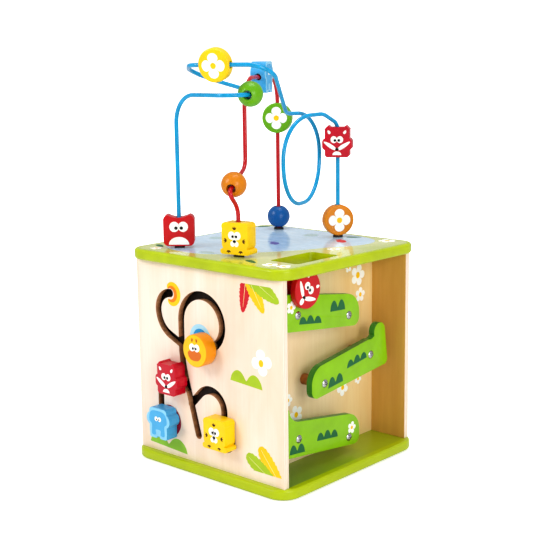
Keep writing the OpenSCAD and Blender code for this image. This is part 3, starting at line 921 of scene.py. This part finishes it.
# the corners of each wire in mm, (x, y, z), with the radius it is bent to there
BLUE_CORNERS = [
    (*OWL_FOOT, WIRE_END, 0),
    (*OWL_FOOT, LOW_RUN - 1, 40),
    (25, -113, LOW_RUN, 24),
    (25, -49, LOW_RUN, 30),
    (-126, -40, TOP_RUN - 12, 24),
    (-46, -116, TOP_RUN, 24),
    (70, -77, TOP_RUN, 30),
    (5, 25, LOOP_TOP + 4, 36),
    (*LOOP_FAR, LOOP_TOP + 1, LOOP_R),
    (*LOOP_FAR, LOOP_LOW, LOOP_R),
    (*LOOP_NEAR, LOOP_LOW, LOOP_R),
    (*LOOP_NEAR, LOOP_TOP, LOOP_R),
    (FOX_FOOT[0] + 0.5, 78, LOOP_TOP + 2, 34),
    (*FOX_FOOT, LOOP_TOP - 14, 16),
    (*FOX_FOOT, WIRE_END, 0),
]
RED_CORNERS = [
    (*LEOPARD_FOOT, WIRE_END, 0),
    (*LEOPARD_FOOT, 378, 30),
    (34.4, -126.8, 401.7, 7),
    (-10, -46, 428, 18),
    (-10, -46, RED_RUN, 42),
    (*BALL_FOOT, RED_RUN, 42),
    (*BALL_FOOT, WIRE_END, 0),
]


def corner(corners, i):
    return Vector(corners[i][:3])


def bend(corners, i):
    """The bend at one corner: its centre, its first spoke, the axis it turns about and its angle."""
    at, r = corner(corners, i), corners[i][3]
    into = (at - corner(corners, i - 1)).normalized()
    out = (corner(corners, i + 1) - at).normalized()
    angle = into.angle(out)
    centre = at + (out - into).normalized() * r / math.cos(angle / 2)
    spoke = at - into * r * math.tan(angle / 2) - centre
    return centre, spoke, spoke.cross(into).normalized(), angle


def bent_line(corners):
    """Points along a line that is bent to a radius at each corner and straight between."""
    points = [corner(corners, 0)]
    for i in range(1, len(corners) - 1):
        centre, spoke, axis, angle = bend(corners, i)
        steps = max(4, round(math.degrees(angle) / 5))
        for k in range(steps + 1):
            points.append(centre + Matrix.Rotation(angle * k / steps, 3, axis) @ spoke)
    points.append(corner(corners, len(corners) - 1))
    return points


for wire_node, corners, colour in (
    ("blue_wire", BLUE_CORNERS, WIRE_BLUE),
    ("red_wire", RED_CORNERS, WIRE_RED),
):
    wire = tube(wire_node + "_smooth", bent_line(corners), WIRE_R,
                coated_wire(wire_node + "_coat", colour), "cube")
    stand_for(wire, wire_node)

# ---------------------------------------------------------------- beads

BALL_R = 17.5
BALL_HOLE_R = 6.25
MOUTH_EASE = 1.0
BALL_STEPS = 20
EASE_STEPS = 5


def ball(node, axis, material):
    """A turned ball with a straight hole whose mouths are eased."""
    mouth_r = BALL_HOLE_R + MOUTH_EASE
    mouth_h = math.sqrt(BALL_R ** 2 - mouth_r ** 2)
    tilt = math.atan2(mouth_h, mouth_r)
    profile = []
    for k in range(-BALL_STEPS, BALL_STEPS + 1):
        a = tilt * k / BALL_STEPS
        profile.append((BALL_R * math.cos(a), BALL_R * math.sin(a)))
    ease = []
    for k in range(1, EASE_STEPS + 1):
        a = math.pi / 2 * k / EASE_STEPS
        outward = MOUTH_EASE * (1 - math.sin(a))
        down = MOUTH_EASE * (1 - math.cos(a))
        ease.append((BALL_HOLE_R + outward, mouth_h - down))
    profile += ease + [(r, -h) for r, h in reversed(ease)]
    piece = lathe(node + "_turned", profile, centre_of(node), axis, material, body_of_node(node))
    stand_for(piece, node)


GREEN_BEND = 3  # the corner of the blue wire whose bend the green ball hangs on
ROUND_BEND = 27  # how far round that bend, in degrees
_, first_spoke, bend_axis, _ = bend(BLUE_CORNERS, GREEN_BEND)
green_spoke = Matrix.Rotation(math.radians(ROUND_BEND), 3, bend_axis) @ first_spoke
ball("green_ball", bend_axis.cross(green_spoke), LEAF_PAINT)
ball("orange_ball", corner(RED_CORNERS, 3) - corner(RED_CORNERS, 2), ORANGE_PAINT)
ball("blue_ball", (0, 0, 1), BLUE_PAINT)

BLOCK_T = 22
BLOCK_EDGE = 1.6
FLOWER_T = 15
FLOWER_EDGE = 0.6
softened("owl_bead", RED_PAINT, BLOCK_EDGE)
softened("leopard_bead", YELLOW_PAINT, BLOCK_EDGE)
softened("fox_bead", FOX_PAINT, BLOCK_EDGE)
run_of_elephant = corner(RED_CORNERS, 5) - corner(RED_CORNERS, 4)
elephant_front = (run_of_elephant.y, -run_of_elephant.x, 0)
# the elephant bead's sides carry painted shade
sky_bead_paint_and_shade = painted("sky_bead_paint_and_shade", PALE_SKY, side_colour=SKY_SHADED_SIDE, front=elephant_front)
softened("elephant_bead", sky_bead_paint_and_shade, BLOCK_EDGE)
softened("yellow_flower", YELLOW_PAINT, FLOWER_EDGE)
softened("green_flower", LEAF_PAINT, FLOWER_EDGE)
softened("orange_flower", ORANGE_PAINT, FLOWER_EDGE)

# how far each upright bead is turned about its post, in degrees
OWL_TURN = 42
LEOPARD_TURN = 12
FOX_TURN = 32
GREEN_FLOWER_TURN = 27
ORANGE_FLOWER_TURN = 58
BOTH_SIDES = ((1, "front"), (-1, "back"))

for side, end in BOTH_SIDES:
    draw_critter("owl_bead_" + end, bead_face("owl_bead", OWL_TURN, BLOCK_T, side=side),
                 owl_features(), INK["brown"])
    draw_critter("leopard_bead_" + end, bead_face("leopard_bead", LEOPARD_TURN, BLOCK_T, side=side),
                 leopard_features(), INK["brown"])
    draw_critter("fox_bead_" + end, bead_face("fox_bead", FOX_TURN, BLOCK_T, side=side),
                 fox_features(), INK["brown"])


def disc_flower(name, face):
    printed(name + "_petals", face, [petals((0, 0), 17)], INK["white"], layer=1)
    printed(name + "_centre", face, [oval((0, 0), 4.2, 4.2)], INK["yellow"], layer=2)


run_of_yellow = corner(BLUE_CORNERS, 6) - corner(BLUE_CORNERS, 5)
YELLOW_LEAN = 10


def level_face(node, run, thick, lean=0.0, side=1):
    """The face of a bead threaded on a level run: `right` follows the wire, leaning about it."""
    right = Vector((run.x, run.y, 0)).normalized()
    up = Matrix.Rotation(math.radians(lean), 3, right) @ Vector((0, 0, 1))
    right = right * side
    out = right.cross(up)
    return Face(centre_of(node) + out * thick / 2 * MM, right, up, body_of_node(node))


for side, end in BOTH_SIDES:
    disc_flower("green_flower_" + end,
                bead_face("green_flower", GREEN_FLOWER_TURN, FLOWER_T, side))
    disc_flower("orange_flower_" + end,
                bead_face("orange_flower", ORANGE_FLOWER_TURN, FLOWER_T, side))
    disc_flower("yellow_flower_" + end,
                level_face("yellow_flower", run_of_yellow, FLOWER_T, YELLOW_LEAN, side))
    draw_critter("elephant_bead_" + end,
                 level_face("elephant_bead", run_of_elephant, BLOCK_T, 0, side),
                 elephant_features(), INK["soft_sky"])

# ---------------------------------------------------------------- maze knobs


def knob_face(node):
    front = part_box(node)[0].y
    middle = centre_of(node)
    return Face((middle.x, front, middle.z), (1, 0, 0), (0, 0, 1), body_of_node(node))


# the elephant knob's sides carry painted shade
sky_knob_paint_and_shade = painted("sky_knob_paint_and_shade", PALE_SKY, side_colour=SKY_SHADED_SIDE)
softened("chick_knob", CHICK_PAINT_AND_SHADE, BLOCK_EDGE)
softened("fox_knob", FOX_PAINT, BLOCK_EDGE)
softened("elephant_knob", sky_knob_paint_and_shade, BLOCK_EDGE)
softened("leopard_knob", YELLOW_PAINT, BLOCK_EDGE)
draw_critter("chick_knob", knob_face("chick_knob"), chick_features(), INK["beak"])
draw_critter("fox_knob", knob_face("fox_knob"), fox_features(), INK["brown"])
draw_critter("elephant_knob", knob_face("elephant_knob"), elephant_features(), INK["soft_sky"])
draw_critter("leopard_knob", knob_face("leopard_knob"), leopard_features(), INK["brown"])
for animal in ("chick", "fox", "elephant", "leopard"):
    softened(animal + "_stem", PLAIN_WOOD, 0.4, steps=2)
    softened(animal + "_keeper", PLAIN_WOOD, 0.5, steps=2)

# ---------------------------------------------------------------- roller

for part in ("roller_axle", "roller_front_disc", "roller_back_disc"):
    softened(part, RED_PAINT, 0.5)
disc_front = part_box("roller_front_disc")[1].x
disc_middle = centre_of("roller_front_disc")
roller_face = Face((disc_front, disc_middle.y, disc_middle.z), (0, 1, 0), (0, 0, 1), "roller_discs")
draw_critter("roller", roller_face, fox_features(round_chin=True), INK["brown"], turn=-44, size=1.1)

# ---------------------------------------------------------------- prints on the maze panel

maze = Face((0, maze_low.y, 0), (1, 0, 0), (0, 0, 1), "cube", host="maze_panel")
SWIRL = (-71, 253)
SKY_SPOT = (-12.5, 197.5)
MAROON_SPOT = (-79, 66)
BROWN_SPOT = (31, 62)
printed_clipped("maze_swirl_yellow", maze, [crescent(SWIRL, 9, 21, -120, 128)], INK["yellow"], 1)
printed_clipped("maze_swirl_orange", maze, [crescent(SWIRL, 8, 14, -115, 120)], INK["orange"], 2)
printed_clipped("maze_spot_halo", maze, [oval(SKY_SPOT, 20.5, 20.5)], INK["halo"], 1)
printed_clipped("maze_spot_sky", maze, [oval(SKY_SPOT, 14, 14)], INK["sky"], 2)
printed_clipped("maze_spot_maroon", maze, [oval(MAROON_SPOT, 23, 23)], INK["maroon"], 1)
printed_clipped("maze_spot_brown", maze, [oval(BROWN_SPOT, 20, 20)], INK["brown"], 1)

PRINT_TOP = 286
PRINT_FOOT = 29.5

# each leaf's base and tip
RED_LEAF = ((77, 299), (69, 246))
GOLD_LEAF = ((77, 300), (107, 250))
GREEN_LEAF = ((78, 298), (134, 267))
LOW_GREEN_LEAF = ((72, 49), (131, 15))
LOW_GOLD_LEAF = ((96, 65), (140, 12))


def cut_print(outline):
    """An outline cut square at the levels where the maze side's print ends."""
    return cut_level(cut_level(outline, PRINT_TOP, -1), PRINT_FOOT, 1)


def maze_leaf(spine, width, teeth=10):
    return cut_print(leaf(*spine, width, teeth=teeth))


printed("maze_leaf_red", maze, [maze_leaf(RED_LEAF, 20)], INK["red"])
gold_leaves = [maze_leaf(GOLD_LEAF, 23), maze_leaf(LOW_GOLD_LEAF, 23)]
printed("maze_leaf_gold", maze, gold_leaves, INK["yellow"], 2)
green_leaves = [maze_leaf(GREEN_LEAF, 25), maze_leaf(LOW_GREEN_LEAF, 23)]
printed("maze_leaf_green", maze, green_leaves, INK["leaf"], 3)
leaf_spines = (RED_LEAF, GOLD_LEAF, GREEN_LEAF, LOW_GREEN_LEAF, LOW_GOLD_LEAF)
veins = [cut_print(vein(*spine)) for spine in leaf_spines]
printed("maze_leaf_veins", maze, veins, INK["vein"], 4)
printed("maze_flower", maze, [petals((102, 182.5), 18, turn=10)], INK["white"])
printed("maze_flower_centre", maze, [oval((101, 181.5), 4.2, 5)], INK["yellow"], 2)
printed("maze_bush_pale", maze, [bush((44, 149), (103, 145), 17, 2)], INK["leaf"])
printed("maze_bush_low", maze, [bush((-122, 26), (-44, 22), 18, 2)], INK["meadow"])

# ---------------------------------------------------------------- prints in the roller run

inner = Face((run_high.x, 0, 0), (0, 1, 0), (0, 0, 1), "cube")
INNER_FLOWERS = [((96, 262), 16), ((102, 232), 11), ((74, 277), 8), ((-45, 83), 14),
                 ((60, 99), 13), ((97, 104), 8), ((-62, 108), 9)]
run_petals = [petals(c, r, count=5, turn=12 * i) for i, (c, r) in enumerate(INNER_FLOWERS)]
printed("run_flowers", inner, run_petals, INK["white"])
run_hearts = [oval(c, 0.28 * r, 0.3 * r) for c, r in INNER_FLOWERS]
printed("run_flower_centres", inner, run_hearts, INK["yellow"], 2)

board = Face((ramp_front, 0, 0), (0, 1, 0), (0, 0, 1), "cube")
RAMP_BUSHES = [((-82, 226), (-35, 220), 12, 3), ((-16, 232), (17, 230), 15, 2),
               ((-21, 123), (12, 127), 14, 2), ((21, 143), (67, 150), 12, 3),
               ((-104, 48), (-72, 45), 13, 2), ((-46, 53), (0, 48), 13, 3)]
printed("ramp_bushes", board, [bush(*spec) for spec in RAMP_BUSHES], INK["bush"])
BOARD_FLOWERS = [((-98, 252), 9), ((32, 53), 9)]
printed("ramp_flowers", board, [petals(c, r, count=5) for c, r in BOARD_FLOWERS], INK["white"])
printed("ramp_flower_centres", board, [oval(c, 2.6, 2.6) for c, _ in BOARD_FLOWERS], INK["yellow"], 2)

# ---------------------------------------------------------------- prints on the deck

half_deck = top_high.x / MM
deck = Face((0, 0, top_high.z), (1, 0, 0), (0, 1, 0), "cube", host="top_plate")


def rounded_square(half, r, steps=8):
    points = []
    for quarter, (sx, sy) in enumerate(((1, 1), (-1, 1), (-1, -1), (1, -1))):
        centre = (sx * (half - r), sy * (half - r))
        points += oval(centre, r, r, start=90 * quarter, stop=90 * quarter + 90, steps=steps)
    return points


RIM = 6
deck_sheet = rounded_square(half_deck - RIM, 24)
printed_clipped("deck_ground", deck, [deck_sheet], deck_paint("deck_paint", top_high.x), 1)
POND_EDGE = [(-138, -70), (-104, -112), (-52, -124), (-8, -110), (20, -74), (44, -40),
             (64, -8), (78, 26), (98, 60), (104, 96), (86, 124), (40, 136),
             (-40, 139), (-110, 137), (-139, 100), (-142, 20)]
printed_clipped("deck_pond", deck, [smooth_loop(POND_EDGE)], pond_paint("pond_paint"), 2)
printed("deck_fish_red", deck, [fish((57, 84), 32, -40)], INK["red"], 3)
printed("deck_fish_purple", deck, [fish((-8, 10), 30, -35)], INK["purple"], 3)
lily_pads = [oval((-12, 98), 11, 12), oval((-108, -8), 12, 11), oval((-28, -108), 13, 8)]
printed("deck_lily_pads", deck, lily_pads, INK["pad"], 3)
DECK_LEAVES = [((-134, -104), (-114, -112)), ((56, -116), (80, -126)),
               ((42, 116), (60, 130)), ((-136, 114), (-122, 128))]
printed("deck_leaves", deck, [leaf(a, b, 9) for a, b in DECK_LEAVES], INK["bush"], 3)
DECK_FLOWERS = [((105, -124), 11), ((127, -122), 10), ((110, 126), 13),
                ((94, 22), 10), ((-112, -126), 9)]
printed("deck_flowers", deck, [petals(c, r, count=5) for c, r in DECK_FLOWERS], INK["white"], 3)
deck_hearts = [oval(c, 0.28 * r, 0.28 * r) for c, r in DECK_FLOWERS]
printed("deck_flower_centres", deck, deck_hearts, INK["yellow"], 4)

# ---------------------------------------------------------------- floor, light and camera


def area_light(name, place, target, size, power):
    data = bpy.data.lights.new(name, "AREA")
    data.shape = "SQUARE"
    data.size = size
    data.energy = power
    lamp = bpy.data.objects.new(name, data)
    lamp.location = place
    lamp.rotation_mode = "QUATERNION"
    lamp.rotation_quaternion = (Vector(target) - Vector(place)).to_track_quat("-Z", "Y")
    bpy.context.scene.collection.objects.link(lamp)


def floor():
    """A wide pale floor, a little uneven in tone, glowing to the camera as painted light, faintest by
    the cube.
    """
    bm = bmesh.new()
    bmesh.ops.create_grid(bm, x_segments=4, y_segments=4, size=20)
    mesh = bpy.data.meshes.new("floor")
    bm.to_mesh(mesh)
    bm.free()
    g = Graph("floor_paint")
    g.set(
        Base_Color=g.blend(g.noise(3), srgb(250, 250, 250), srgb(246, 246, 247)),
        Roughness=g.span(g.noise(40), 0.3, 0.7, 0.55, 0.65),
    )
    # painted light: the floor glows to the camera, faint near the cube and full white further out
    away = g.add("ShaderNodeVectorMath", {0: g.coords.outputs["Object"]}, operation="LENGTH")
    painted_glow = g.span(away.outputs["Value"], 0.2, 0.8, 0.35, 1.0)
    seen = g.add("ShaderNodeLightPath").outputs["Is Camera Ray"]
    g.set(Emission_Color=(1, 1, 1, 1), Emission_Strength=g.math("MULTIPLY", painted_glow, seen))
    mesh.materials.append(g.material)
    ground = bpy.data.objects.new("floor", mesh)
    ground.location = (0, 0, -0.5 * MM)
    bpy.context.scene.collection.objects.link(ground)


def world(strength):
    """A white room: full white to the camera, dimmer as a light."""
    made = bpy.data.worlds.new("studio")
    made.use_nodes = True
    tree = made.node_tree
    background = tree.nodes["Background"]
    background.inputs["Color"].default_value = (1, 1, 1, 1)
    rays = tree.nodes.new("ShaderNodeLightPath")
    level = tree.nodes.new("ShaderNodeMapRange")
    level.inputs["To Min"].default_value = strength
    level.inputs["To Max"].default_value = 1.0
    tree.links.new(rays.outputs["Is Camera Ray"], level.inputs["Value"])
    tree.links.new(level.outputs["Result"], background.inputs["Strength"])
    bpy.context.scene.world = made


CAMERA_PLACE = (1.0934, -1.2152, 0.5829)
CAMERA_ANGLES = (41.93, 10.93, -0.70)  # azimuth, elevation and roll, in degrees
CAMERA_LENS = 75.05


def photo_camera():
    """The camera: a little above the deck, looking at the corner between the maze and the run."""
    azimuth, elevation, roll = (math.radians(angle) for angle in CAMERA_ANGLES)
    back = Vector((math.sin(azimuth) * math.cos(elevation),
                   -math.cos(azimuth) * math.cos(elevation), math.sin(elevation)))
    level = Vector((math.cos(azimuth), math.sin(azimuth), 0))
    rise = back.cross(level)
    right = math.cos(roll) * level + math.sin(roll) * rise
    up = -math.sin(roll) * level + math.cos(roll) * rise
    data = bpy.data.cameras.new("photo_camera")
    data.sensor_width = 36
    data.lens = CAMERA_LENS
    data.clip_start = 0.1
    data.clip_end = 50
    camera = bpy.data.objects.new("photo_camera", data)
    camera.matrix_world = Matrix((
        (right.x, up.x, back.x, CAMERA_PLACE[0]),
        (right.y, up.y, back.y, CAMERA_PLACE[1]),
        (right.z, up.z, back.z, CAMERA_PLACE[2]),
        (0, 0, 0, 1),
    ))
    bpy.context.scene.collection.objects.link(camera)
    bpy.context.scene.camera = camera


floor()
world(0.5)
MIDDLE = (0, 0, 0.25)
area_light("key", (-0.9, -1.8, 1.6), MIDDLE, 0.9, 20)
area_light("fill", (1.9, -0.7, 0.8), MIDDLE, 0.9, 15)
area_light("top", (0.1, 0.2, 2.2), MIDDLE, 1.0, 14)
photo_camera()
bpy.context.scene.view_settings.view_transform = "Standard"
bpy.context.scene.view_settings.look = "Medium High Contrast"
